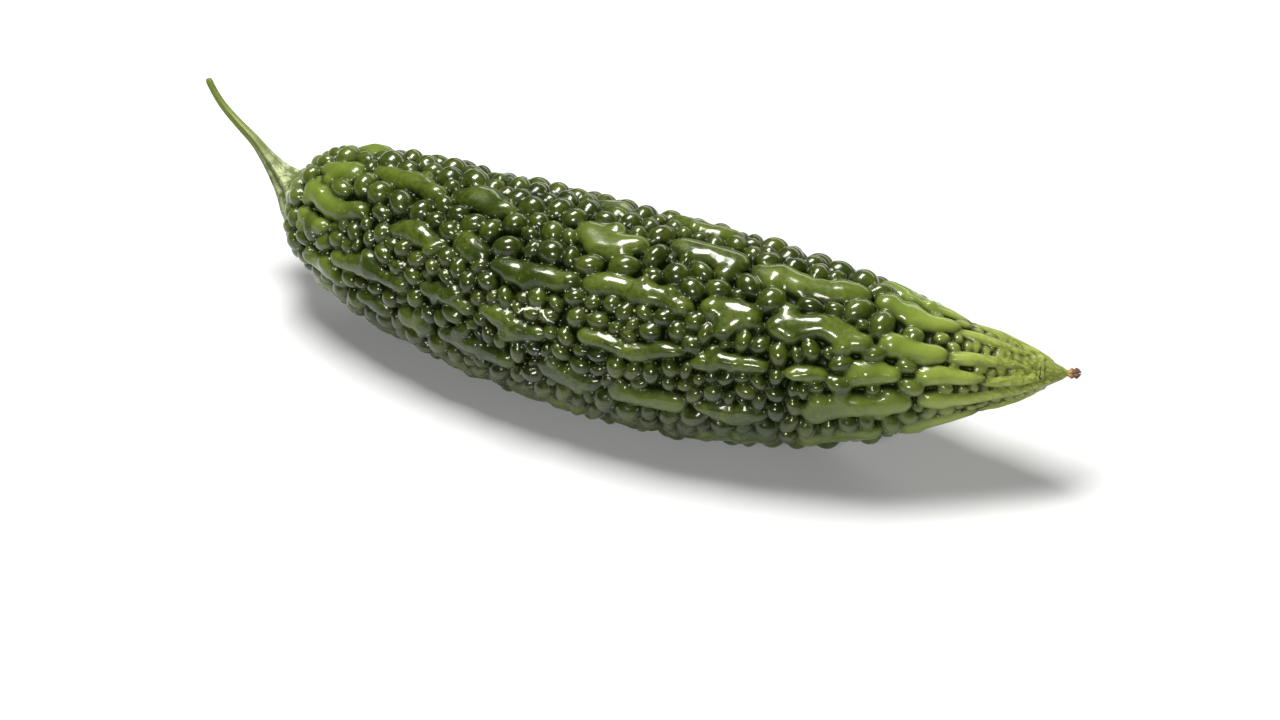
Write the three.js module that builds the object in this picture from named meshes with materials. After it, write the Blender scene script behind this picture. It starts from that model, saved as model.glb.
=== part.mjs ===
// A bitter gourd with its stem, as picked and laid on a flat surface. Millimetres, +Z up.
// The fruit lies along X with its pointed blossom end at +X, and z = 0 is the surface under it.
// Angles round the fruit are in degrees: 0 faces -Y, 90 faces up, -90 faces the surface.
import * as THREE from "three";

// ---- Sizes of the fruit ----
const fruitLength = 237; // along the fruit, from the stem shoulder to the blossom tip
const bellyRadius = 31; // over the warts, at the thickest place
const crestHeight = 4.6; // from the skin between the warts up to the ridge crests, at the belly
const beadHeight = 3.2; // from the same skin up to the small round warts
const sideBow = 16.5; // how far the belly stands out towards -Y of a straight line between the ends
const bellySag = 3.4; // how far the belly hangs below the same line
const tipRise = 3.2; // how much higher the blossom end lies than the stem end
const settle = 1.0; // how far the crests under the fruit are pressed flat where it lies

// ---- Sizes of the stem and of the dried flower at the tip ----
const stemReach = 36; // how far the stem goes out of the shoulder, along the fruit's own line
const stemRise = 23; // how far its cut end stands above that line
const stemFootRadius = 7.4; // where it spreads onto the shoulder
const stemNeckRadius = 1.7; // where the spread ends
const stemEndRadius = 1.0; // at the cut
const flowerLength = 2.8;
const flowerRadius = 1.5;
const tipRadius = 1.4; // of the fruit's own end, under the dried flower
const jointGap = 0.3; // left between pieces that touch

// ---- Detail of the solids ----
const columnsPerRow = 6; // faces round the fruit for each ridge row
const ringSpacing = 4.2; // along the fruit
const stemSides = 14;
const stemRings = 16;
const flowerSides = 10;

// The fruit's outline over its warts, as shares of its length and of its largest radius.
const outline = new THREE.SplineCurve(
  [
    [0.0, 0.27],
    [0.012, 0.46],
    [0.04, 0.62],
    [0.1, 0.745],
    [0.2, 0.88],
    [0.32, 0.965],
    [0.46, 1.0],
    [0.58, 0.975],
    [0.7, 0.865],
    [0.8, 0.695],
    [0.88, 0.46],
    [0.93, 0.305],
    [0.96, 0.205],
    [0.985, 0.115],
    [1.0, 0.05],
  ].map(([along, radius]) => new THREE.Vector2(along, radius)),
);

// Each ridge row: its angle, and the stretches of it that stand up as smooth bars, in mm from the stem end.
const rows = [
  { angle: 84, bars: [[14, 28], [31, 57], [59, 80], [100, 121], [127, 149], [151, 183], [185, 207], [209, 232]] },
  { angle: 50, bars: [[13, 38], [47, 66], [68, 79], [81, 107], [108, 139], [141, 157], [159, 186], [188, 205], [206, 232]] },
  { angle: 20, bars: [[14, 27], [30, 58], [62, 79], [81, 101], [110, 139], [141, 161], [165, 176], [180, 194], [200, 232]] },
  { angle: -9, bars: [[18, 36], [40, 52], [55, 66], [68, 92], [99, 117], [119, 140], [142, 161], [170, 197], [199, 232]] },
  { angle: -42, bars: [[14, 33], [38, 60], [63, 82], [86, 112], [116, 131], [135, 163], [167, 189], [192, 232]] },
  { angle: -74, bars: [[20, 42], [45, 58], [62, 90], [93, 118], [121, 136], [140, 166], [170, 185], [190, 232]] },
  { angle: -106, bars: [[13, 30], [34, 55], [59, 78], [81, 109], [113, 134], [138, 156], [160, 188], [192, 232]] },
  { angle: -139, bars: [[16, 40], [43, 64], [70, 84], [88, 113], [117, 143], [146, 160], [165, 190], [194, 232]] },
  { angle: -172, bars: [[13, 26], [30, 52], [56, 83], [87, 101], [106, 130], [134, 158], [163, 180], [186, 232]] },
  { angle: -206, bars: [[18, 44], [48, 62], [66, 91], [96, 121], [125, 139], [144, 171], [176, 191], [196, 232]] },
  { angle: -241, bars: [[15, 27], [60, 70], [97, 109], [120, 143], [184, 209], [212, 231]] },
];

const skinMaterial = new THREE.MeshStandardMaterial({ color: 0x4a5f2a, roughness: 0.32, metalness: 0 });
const stemMaterial = new THREE.MeshStandardMaterial({ color: 0x7c8b4a, roughness: 0.6, metalness: 0 });
const flowerMaterial = new THREE.MeshStandardMaterial({ color: 0x8a6a4a, roughness: 0.85, metalness: 0 });

const radians = THREE.MathUtils.degToRad;
const smoothstep = THREE.MathUtils.smoothstep;

// The middle of the fruit at a share of its length. It is level at z = 0 between its ends, apart from tipRise.
function centre(share) {
  const fromMiddle = 2 * share - 1;
  const bulge = 1 - fromMiddle ** 2;
  return new THREE.Vector3(
    (share - 0.5) * fruitLength,
    -sideBow * bulge,
    -bellySag * bulge + tipRise * share,
  );
}

// Where the middle is heading, and the two directions across it: side is angle 0 and over is angle 90.
function frameAt(share) {
  const step = 0.001;
  const along = centre(share + step).sub(centre(share - step)).normalize();
  const side = new THREE.Vector3().crossVectors(along, new THREE.Vector3(0, 0, 1)).normalize();
  const over = new THREE.Vector3().crossVectors(side, along);
  return { along, side, over };
}

// A point at a distance from the middle of the fruit.
function around(share, angle, radius) {
  const { side, over } = frameAt(share);
  return centre(share)
    .addScaledVector(side, radius * Math.cos(angle))
    .addScaledVector(over, radius * Math.sin(angle));
}

// The warts sink into the skin towards both ends.
function wartShare(share) {
  return (0.25 + 0.75 * smoothstep(share, 0, 0.06)) * (1 - 0.8 * smoothstep(share, 0.79, 0.95));
}

// How far a ridge row stands up at a distance along the fruit, from 0 between its bars to 1 on them.
function barShare(row, along) {
  const endLength = 5;
  const stretches = row.bars.map(([start, end]) => {
    const inside = Math.min(along - start, end - along);
    return smoothstep(inside, -0.4 * endLength, 0.6 * endLength);
  });
  return Math.max(...stretches);
}

// The height over the skin at one corner of the fruit's grid of rings and columns.
function heightAt(ring, column, share) {
  const rowIndex = Math.floor(column / columnsPerRow) % rows.length;
  const step = column % columnsPerRow;
  const nearest = step <= columnsPerRow / 2 ? rowIndex : (rowIndex + 1) % rows.length;
  const away = Math.min(step, columnsPerRow - step);
  const bar = barShare(rows[nearest], share * fruitLength) * [1, 0.84, 0, 0][away] * crestHeight;
  const beadHere = (ring + step) % 2 === 0 && away > 0;
  const bead = (beadHere ? beadHeight : 0.25 * beadHeight) * (away === 0 ? 0.6 : 1);
  return wartShare(share) * Math.max(bar, bead);
}

// Angle of a column: the columns of a row are spread evenly up to the next row.
function columnAngle(column) {
  const turns = Math.floor(column / (columnsPerRow * rows.length));
  const rowIndex = Math.floor(column / columnsPerRow) % rows.length;
  const next = rowIndex + 1 < rows.length ? rows[rowIndex + 1].angle : rows[0].angle - 360;
  const part = (column % columnsPerRow) / columnsPerRow;
  return rows[rowIndex].angle + (next - rows[rowIndex].angle) * part - 360 * turns;
}

// Radius over the warts at a share of the length.
function outlineRadius(share) {
  let low = 0;
  let high = 1;
  for (let i = 0; i < 40; i++) {
    const middle = (low + high) / 2;
    if (outline.getPoint(middle).x < share) low = middle;
    else high = middle;
  }
  return outline.getPoint(low).y * bellyRadius;
}

// The fruit: a turned solid whose corners are moved onto the bowed middle line and up to the warts.
function fruitGeometry() {
  const shoulderShares = [0, 0.012, 0.026];
  const evenRings = Math.round((0.95 * fruitLength) / ringSpacing);
  const evenShares = Array.from({ length: evenRings + 1 }, (_, i) => 0.042 + (0.992 - 0.042) * (i / evenRings));
  const shares = [...shoulderShares, ...evenShares, 1];
  const profile = [
    new THREE.Vector2(0, 0),
    ...shares.map((share) => new THREE.Vector2(1, share)),
    new THREE.Vector2(0, 1),
  ];
  const columns = columnsPerRow * rows.length;
  const geometry = new THREE.LatheGeometry(profile, columns);
  const corners = geometry.attributes.position;
  const ringsInAll = profile.length;
  for (let i = 0; i < corners.count; i++) {
    const column = Math.floor(i / ringsInAll);
    const ring = i % ringsInAll;
    const onAxis = ring === 0 || ring === ringsInAll - 1;
    const share = profile[ring].y;
    const outer = share === 1 ? tipRadius : Math.max(outlineRadius(share), tipRadius);
    const atEnd = share === 0 || share === 1;
    const raised = atEnd ? 0 : heightAt(ring, column % columns, share);
    const skin = atEnd ? outer : outer - wartShare(share) * crestHeight;
    const radius = onAxis ? 0 : Math.max(skin, tipRadius) + raised;
    const corner = around(share, radians(columnAngle(column % columns)), radius);
    corners.setXYZ(i, corner.x, corner.y, corner.z);
  }
  splitAlongValleys(geometry);
  return geometry;
}

// Each four-cornered face is split so that the fold between its halves runs low, which keeps the warts apart.
function splitAlongValleys(geometry) {
  const corners = geometry.attributes.position;
  const index = geometry.index;
  const at = (i) => new THREE.Vector3().fromBufferAttribute(corners, i);
  for (let i = 0; i + 5 < index.count; i += 6) {
    const [a, b, d] = [index.getX(i), index.getX(i + 1), index.getX(i + 2)];
    const c = index.getX(i + 3);
    const outwards = at(b).sub(at(a)).cross(at(d).sub(at(a)));
    const foldBD = at(b).add(at(d)).dot(outwards);
    const foldAC = at(a).add(at(c)).dot(outwards);
    if (foldAC < foldBD) {
      [a, b, c, a, c, d].forEach((corner, j) => index.setX(i + j, corner));
    }
  }
}

// A solid turned about a curved line: radii are given at even steps along it, and its ends are flat.
function spunAlong(line, radii, sides) {
  const last = radii.length - 1;
  const profile = [
    new THREE.Vector2(0, 0),
    ...radii.map((radius, i) => new THREE.Vector2(radius, i / last)),
    new THREE.Vector2(0, 1),
  ];
  const geometry = new THREE.LatheGeometry(profile, sides);
  const corners = geometry.attributes.position;
  for (let i = 0; i < corners.count; i++) {
    const share = corners.getY(i);
    const along = line.getTangent(share);
    const side = new THREE.Vector3().crossVectors(along, new THREE.Vector3(0, 0, 1)).normalize();
    const over = new THREE.Vector3().crossVectors(side, along);
    const corner = line
      .getPoint(share)
      .addScaledVector(side, corners.getX(i))
      .addScaledVector(over, corners.getZ(i));
    corners.setXYZ(i, corner.x, corner.y, corner.z);
  }
  return geometry;
}

// The stem: it leaves the shoulder square to it, spreads at its foot, and bends up to its cut end.
function stemGeometry() {
  const out = frameAt(0).along.negate();
  const foot = centre(0).addScaledVector(out, jointGap);
  const up = new THREE.Vector3(0, 0, 1);
  const line = new THREE.CubicBezierCurve3(
    foot,
    foot.clone().addScaledVector(out, 0.25 * stemReach),
    foot.clone().addScaledVector(out, 0.64 * stemReach).addScaledVector(up, 0.52 * stemRise),
    foot.clone().addScaledVector(out, stemReach).addScaledVector(up, stemRise),
  );
  const radii = Array.from({ length: stemRings + 1 }, (_, i) => {
    const share = i / stemRings;
    const spread = (stemFootRadius - stemNeckRadius) * Math.max(0, 1 - share / 0.55) ** 2;
    const shaft = stemNeckRadius + (stemEndRadius - stemNeckRadius) * share;
    return shaft + spread;
  });
  return spunAlong(line, radii, stemSides);
}

// The dried remains of the flower, a small ragged knob on the blossom tip.
function flowerGeometry() {
  const { along } = frameAt(1);
  const foot = centre(1).addScaledVector(along, jointGap);
  const line = new THREE.LineCurve3(foot, foot.clone().addScaledVector(along, flowerLength));
  const radii = [0.55, 0.8, 1.0, 0.85, 0.9, 0.45].map((part) => part * flowerRadius);
  return spunAlong(line, radii, flowerSides);
}

// Lowers the fruit until its lowest crests are pressed flat by settle, and returns how far everything moves.
function layDown(fruit) {
  fruit.computeBoundingBox();
  const drop = -fruit.boundingBox.min.z - settle;
  fruit.translate(0, 0, drop);
  const corners = fruit.attributes.position;
  for (let i = 0; i < corners.count; i++) {
    corners.setZ(i, Math.max(corners.getZ(i), 0));
  }
  return drop;
}

function named(name, geometry, material) {
  const mesh = new THREE.Mesh(geometry, material);
  mesh.name = name;
  return mesh;
}

const fruit = fruitGeometry();
const drop = layDown(fruit);
const gourd = new THREE.Group();
gourd.add(
  named("fruit", fruit, skinMaterial),
  named("stem", stemGeometry().translate(0, 0, drop), stemMaterial),
  named("dried_flower", flowerGeometry().translate(0, 0, drop), flowerMaterial),
);

// The frame's origin is under the middle of the whole gourd.
const middle = new THREE.Box3().setFromObject(gourd, true).getCenter(new THREE.Vector3());
gourd.position.set(-middle.x, -middle.y, 0);

export default gourd;
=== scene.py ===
"""A whole bitter gourd with its stem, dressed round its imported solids.

Sizes are in millimetres until a mesh is made, and +Z is up. Angles round the fruit are in degrees:
0 faces -Y, 90 faces up and -90 faces the surface that the fruit lies on.
"""

import logging
import math
from dataclasses import dataclass, field
from enum import Enum
from functools import partial, reduce
from typing import Sequence

import bpy
import numpy as np
from mathutils import Matrix, Vector
from mathutils.kdtree import KDTree


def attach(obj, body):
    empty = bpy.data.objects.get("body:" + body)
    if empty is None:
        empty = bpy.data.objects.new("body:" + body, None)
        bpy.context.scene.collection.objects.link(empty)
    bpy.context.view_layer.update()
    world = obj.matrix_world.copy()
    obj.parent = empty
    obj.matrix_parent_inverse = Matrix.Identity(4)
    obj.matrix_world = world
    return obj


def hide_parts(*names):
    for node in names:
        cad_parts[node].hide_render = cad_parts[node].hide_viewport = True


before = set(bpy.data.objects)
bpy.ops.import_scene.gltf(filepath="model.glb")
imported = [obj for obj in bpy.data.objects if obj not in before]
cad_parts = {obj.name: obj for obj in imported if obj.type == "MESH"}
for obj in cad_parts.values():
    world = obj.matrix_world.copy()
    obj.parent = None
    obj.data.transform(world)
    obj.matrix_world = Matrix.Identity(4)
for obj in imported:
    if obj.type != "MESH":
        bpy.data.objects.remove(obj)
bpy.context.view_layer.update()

Array = np.ndarray
Colour = tuple[float, float, float]
Change = tuple[float, float, float, float]
METRE = 0.001
LOG = logging.getLogger("bitter_gourd")


def smooth_rise(value: Array | float, low: float, high: float) -> Array:
    """A soft step.

    Args:
        value: where to read it.
        low: where it starts to rise from 0.
        high: where it reaches 1.

    Returns:
        A share from 0 to 1 for each value.
    """
    share = np.clip((np.asarray(value, float) - low) / (high - low), 0.0, 1.0)
    return share * share * (3.0 - 2.0 * share)


def smooth_path(points: Sequence[Sequence[float]], steps: int = 24) -> Array:
    """A smooth path through every given point.

    Args:
        points: the points, in order.
        steps: how many places to put on each stretch.

    Returns:
        The places along the path, one per row.
    """
    knots = np.array([points[0], *points, points[-1]], float)
    u = np.linspace(0.0, 1.0, steps, endpoint=False)[:, None]
    pieces = [
        0.5 * (2 * b + (c - a) * u + (2 * a - 5 * b + 4 * c - d) * u**2 + (3 * b - a - 3 * c + d) * u**3)
        for a, b, c, d in zip(knots, knots[1:], knots[2:], knots[3:])
    ]
    return np.vstack([*pieces, knots[-1:]])


def unit(vectors: Array) -> Array:
    """The same directions at length 1."""
    return vectors / np.maximum(np.linalg.norm(vectors, axis=-1, keepdims=True), 1e-12)


def mesh_object(name: str, places: Array, faces: Array | Sequence[Sequence[int]]) -> bpy.types.Object:
    """Makes a mesh object from places in millimetres.

    Args:
        name: the object's name.
        places: one place per row.
        faces: the corners of each face.

    Returns:
        The object, linked to the scene, at the origin.
    """
    mesh = bpy.data.meshes.new(name)
    mesh.from_pydata((np.asarray(places) * METRE).tolist(), [], [tuple(map(int, f)) for f in faces])
    mesh.validate()
    made = bpy.data.objects.new(name, mesh)
    bpy.context.scene.collection.objects.link(made)
    return made


def applied(source: bpy.types.Object, name: str) -> bpy.types.Object:
    """Turns an object with live modifiers into a plain mesh object, and removes the source.

    Args:
        source: the object whose modifiers are applied.
        name: the name of the plain object.

    Returns:
        The plain object, linked to the scene.
    """
    seen = source.evaluated_get(bpy.context.evaluated_depsgraph_get())
    mesh = bpy.data.meshes.new_from_object(seen)
    bpy.data.objects.remove(source)
    mesh.name = name
    made = bpy.data.objects.new(name, mesh)
    bpy.context.scene.collection.objects.link(made)
    return made


def places_of(piece: bpy.types.Object) -> Array:
    """The places of a mesh's corners in millimetres, one per row."""
    flat = np.empty(len(piece.data.vertices) * 3)
    piece.data.vertices.foreach_get("co", flat)
    return flat.reshape(-1, 3) / METRE


def set_places(piece: bpy.types.Object, places: Array) -> None:
    """Moves the corners of a mesh.

    Args:
        piece: the mesh object.
        places: the new places in millimetres, one per row.
    """
    piece.data.vertices.foreach_set("co", (places * METRE).ravel())
    piece.data.update()


def set_share(piece: bpy.types.Object, name: str, values: Array) -> None:
    """Stores one number per corner of a mesh, for its material to read.

    Args:
        piece: the mesh object.
        name: the attribute's name.
        values: one number per corner.
    """
    layer = piece.data.attributes.new(name, "FLOAT", "POINT")
    layer.data.foreach_set("value", np.ascontiguousarray(values, np.float32))


def set_bake_map(piece: bpy.types.Object, around: Array, along: Array) -> None:
    """Lays a map over a round piece, cut open along one line.

    Args:
        piece: the mesh object.
        around: for each corner, the share of a turn from the cut, from 0 to 1.
        along: for each corner, the share of the length, from 0 to 1.
    """
    mesh = piece.data
    corner = np.empty(len(mesh.loops), np.int64)
    mesh.loops.foreach_get("vertex_index", corner)
    start = np.empty(len(mesh.polygons), np.int64)
    mesh.polygons.foreach_get("loop_start", start)
    turn = around[corner]
    face = np.zeros(len(corner), np.int64)
    face[start[1:]] = 1
    face = np.cumsum(face)
    most = np.maximum.reduceat(turn, start)[face]
    turn = np.where(most - turn > 0.5, turn + 1.0, turn)
    edge = 0.03
    flat = np.stack([edge + (1 - 2 * edge) * turn, edge + (1 - 2 * edge) * along[corner]], axis=1)
    layer = mesh.uv_layers.new(name="OFBake")
    layer.data.foreach_set("uv", np.clip(flat, 0.0, 1.0).astype(np.float32).ravel())


class BodyName(Enum):
    """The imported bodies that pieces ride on."""

    ROOT = "root"


class Slot(Enum):
    """The record's material slots."""

    SKIN = "gourd_skin"
    STEM = "green_stem"
    PETALS = "dried_petals"


@dataclass(frozen=True)
class FruitLine:
    """The fruit's bowed middle line and its outline, by which every piece is placed."""

    stem_end: tuple[float, float, float]
    tip: tuple[float, float, float]
    side_bow: float = 16.5
    belly_sag: float = 3.4
    belly_radius: float = 31.0
    relief: float = 4.5
    set_back: float = 0.017
    tip_radius: float = 0.9
    outline: tuple[tuple[float, float], ...] = (
        (0.0, 0.27),
        (0.012, 0.46),
        (0.04, 0.62),
        (0.1, 0.745),
        (0.2, 0.88),
        (0.32, 0.965),
        (0.46, 1.0),
        (0.58, 0.975),
        (0.7, 0.865),
        (0.8, 0.695),
        (0.88, 0.46),
        (0.93, 0.305),
        (0.96, 0.205),
        (0.985, 0.115),
        (0.995, 0.075),
        (1.0, 0.03),
    )

    @classmethod
    def of_packed_fruit(cls, node: str = "fruit") -> "FruitLine":
        """Reads the line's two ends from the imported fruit.

        Args:
            node: the fruit's node. Far more faces meet at its two ends than anywhere else on it.

        Returns:
            The line through those ends.
        """
        places = np.round(places_of(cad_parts[node]), 3)
        corners = [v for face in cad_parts[node].data.polygons for v in face.vertices]
        spots, counts = np.unique(places[corners], axis=0, return_counts=True)
        ends = spots[np.argsort(counts)[-2:]]
        stem_end, tip = ends[np.argsort(ends[:, 0])]
        return cls(tuple(map(float, stem_end)), tuple(map(float, tip)))

    @property
    def length(self) -> float:
        """The distance between the ends, along X."""
        return self.tip[0] - self.stem_end[0]

    def centre(self, share: Array) -> Array:
        """Places on the middle line at shares of the length."""
        share = np.asarray(share, float)[..., None]
        bulge = 1 - (2 * share - 1) ** 2
        start, end = np.array(self.stem_end), np.array(self.tip)
        return start + (end - start) * share + np.array([0.0, -self.side_bow, -self.belly_sag]) * bulge

    def directions(self, share: Array) -> tuple[Array, Array, Array]:
        """The line's own directions.

        Args:
            share: shares of the length.

        Returns:
            Where the line is heading, its side at angle 0, and its side at angle 90.
        """
        share = np.asarray(share, float)[..., None]
        start, end = np.array(self.stem_end), np.array(self.tip)
        along = unit(end - start + np.array([0.0, -self.side_bow, -self.belly_sag]) * (4 - 8 * share))
        side = unit(np.cross(along, np.array([0.0, 0.0, 1.0])))
        return along, side, np.cross(side, along)

    def wart_share(self, share: Array) -> Array:
        """How far the warts stand up, as a share: they sink into the skin towards both ends."""
        return (0.25 + 0.75 * smooth_rise(share, 0, 0.06)) * (1 - 0.8 * smooth_rise(share, 0.79, 0.95))

    def outer_radius(self, share: Array) -> Array:
        """The radius over the ridge crests."""
        path = smooth_path(self.outline)
        return np.maximum(np.interp(share, path[:, 0], path[:, 1]) * self.belly_radius, self.tip_radius)

    def core_radius(self, share: Array) -> Array:
        """The radius of the skin between the warts, set back at the shoulder to make room for its warts."""
        back = self.set_back * (1 - smooth_rise(share, 0.0, 0.13))
        outer = self.outer_radius(np.asarray(share) - back)
        return np.maximum(outer - self.wart_share(share) * self.relief, self.tip_radius)

    def core_slope(self, share: Array) -> Array:
        """How fast the skin's radius grows along the line."""
        step = 0.004
        share = np.clip(share, step, 1 - step)
        rise = self.core_radius(share + step) - self.core_radius(share - step)
        return rise / (2 * step * self.length)

    def on_skin(self, share: Array, angle: Array, height: Array | float = 0.0) -> tuple[Array, Array]:
        """Places over the skin between the warts.

        Args:
            share: shares of the length.
            angle: angles round the fruit.
            height: how far above the skin, square to it.

        Returns:
            The places, and for each its three directions: along the skin, round the fruit, and outwards.
        """
        share, angle = np.broadcast_arrays(np.asarray(share, float), np.radians(angle))
        along, side, over = self.directions(share)
        cosine, sine = np.cos(angle)[..., None], np.sin(angle)[..., None]
        radial = side * cosine + over * sine
        slope = self.core_slope(share)[..., None]
        outwards = unit(radial - slope * along)
        tangent = unit(along + slope * radial)
        round_it = np.cross(outwards, tangent)
        place = self.centre(share) + radial * self.core_radius(share)[..., None]
        place = place + outwards * np.broadcast_to(height, share.shape)[..., None]
        return place, np.stack([tangent, round_it, outwards], axis=-2)

    def locate(self, places: Array) -> tuple[Array, Array, Array, Array]:
        """Finds places relative to the middle line.

        Args:
            places: one place per row.

        Returns:
            For each its share of the length, its angle, its distance from the line, and the direction
            away from the line.
        """
        share = (places[:, 0] - self.stem_end[0]) / self.length
        for _ in range(4):
            along, side, over = self.directions(share)
            share = share + np.sum((places - self.centre(share)) * along, axis=1) / self.length
        away = places - self.centre(share)
        across, up = np.sum(away * side, axis=1), np.sum(away * over, axis=1)
        return share, np.degrees(np.arctan2(up, across)), np.hypot(across, up), unit(away)


@dataclass(frozen=True)
class Bar:
    """One smooth stretch of a ridge row."""

    start: float
    end: float
    width: float = 1.0
    turn: float = 0.0


@dataclass(frozen=True)
class RidgeRow:
    """A row of bars along the fruit."""

    angle: float
    half_width: float
    bars: tuple[Bar, ...]

    @classmethod
    def of(cls, angle: float, half_width: float, *stretches: tuple[float, ...]) -> "RidgeRow":
        """Makes a row from its stretches: start, end, and if need be width and turn."""
        return cls(angle, half_width, tuple(Bar(*stretch) for stretch in stretches))


RIDGE_ROWS = (
    RidgeRow.of(84, 3.8, (14, 28, 1.15, -5), (31, 57, 0.95, -2), (59, 80, 1.1, -1), (100, 121, 1.3, -3),
                (127, 149, 1.2, 4), (151, 183, 1.05, 2), (185, 207, 1.0, 4), (208, 224, 1.0, 2)),
    RidgeRow.of(50, 3.3, (13, 38, 1.0, -3), (47, 66, 0.95, -4), (68, 79, 1.35, 4), (81, 107, 1.0, -2),
                (108, 139, 1.05, 2), (141, 157, 1.2, 4), (159, 186, 1.15, 2), (188, 205, 1.05),
                (206, 223, 1.2, 1)),
    RidgeRow.of(20, 2.8, (14, 27, 1.0, 8), (30, 58, 1.15, -7), (62, 79, 1.0, -2), (81, 101, 1.1, -3),
                (110, 139, 0.9, 2), (141, 161, 0.95, 3), (165, 176, 0.9, 2), (180, 194, 1.1, 3),
                (198, 214, 1.3, 5), (216, 229, 1.0, -2)),
    RidgeRow.of(-9, 3.5, (18, 36), (40, 52, 0.9), (55, 66, 1.1, 3), (68, 92, 1.0, 2), (99, 117, 1.1, 3),
                (119, 140, 1.05, 1), (142, 161, 1.0, -1), (170, 197, 1.2, 6), (199, 231, 1.15, 4)),
    RidgeRow.of(-42, 3.6, (14, 33), (38, 60), (63, 82), (86, 112), (116, 131), (135, 163), (167, 189),
                (192, 212), (214, 228)),
    RidgeRow.of(-74, 3.6, (20, 42), (45, 58), (62, 90), (93, 118), (121, 136), (140, 166), (170, 185),
                (190, 209), (211, 226)),
    RidgeRow.of(-106, 3.6, (13, 30), (34, 55), (59, 78), (81, 109), (113, 134), (138, 156),
                (160, 188), (192, 212), (214, 228)),
    RidgeRow.of(-139, 3.6, (16, 40), (43, 64), (70, 84), (88, 113), (117, 143), (146, 160),
                (165, 190), (194, 215), (217, 231)),
    RidgeRow.of(-172, 3.6, (13, 26), (30, 52), (56, 83), (87, 101), (106, 130), (134, 158),
                (163, 180), (186, 206), (208, 222)),
    RidgeRow.of(-206, 3.6, (18, 44), (48, 62), (66, 91), (96, 121), (125, 139), (144, 171),
                (176, 191), (196, 214), (216, 231)),
    RidgeRow.of(-241, 3.4, (15, 27), (60, 70, 1.1), (97, 109, 1.2), (120, 143), (184, 209), (212, 231)),
)


@dataclass
class RoundForm:
    """One raised form on the skin: a bead of a single round, or a bar of several that run together."""

    centres: Array
    axes: Array
    sizes: Array
    is_bar: bool
    shade: float
    firmness: float = 2.2

    def distance(self, places: Array) -> tuple[Array, Array]:
        """How far places are from the form's surface.

        Args:
            places: one place per row.

        Returns:
            The distances, below 0 inside, and the directions in which they grow.
        """
        total = np.zeros(len(places))
        slope = np.zeros_like(places)
        for centre, axes, sizes in zip(self.centres, self.axes, self.sizes):
            local = (places - centre) @ axes.T
            scaled = local / sizes
            twice = scaled / sizes
            near = np.linalg.norm(scaled, axis=1)
            steep = np.maximum(np.linalg.norm(twice, axis=1), 1e-9)
            away = near * (near - 1) / steep
            if len(self.centres) == 1:
                return away, (twice / steep[:, None]) @ axes
            weight = np.exp(-self.firmness * np.clip(away, -6, 12))
            total += weight
            slope += weight[:, None] * ((twice / steep[:, None]) @ axes)
        total = np.maximum(total, 1e-30)
        return -np.log(total) / self.firmness, slope / total[:, None]


def stacked(forms: Sequence[RoundForm]) -> tuple[Array, ...]:
    """The middles, the directions and the half sizes of every round of some forms."""
    parts = ("centres", "axes", "sizes")
    return tuple(np.vstack([getattr(form, part) for form in forms]) for part in parts)


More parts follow.
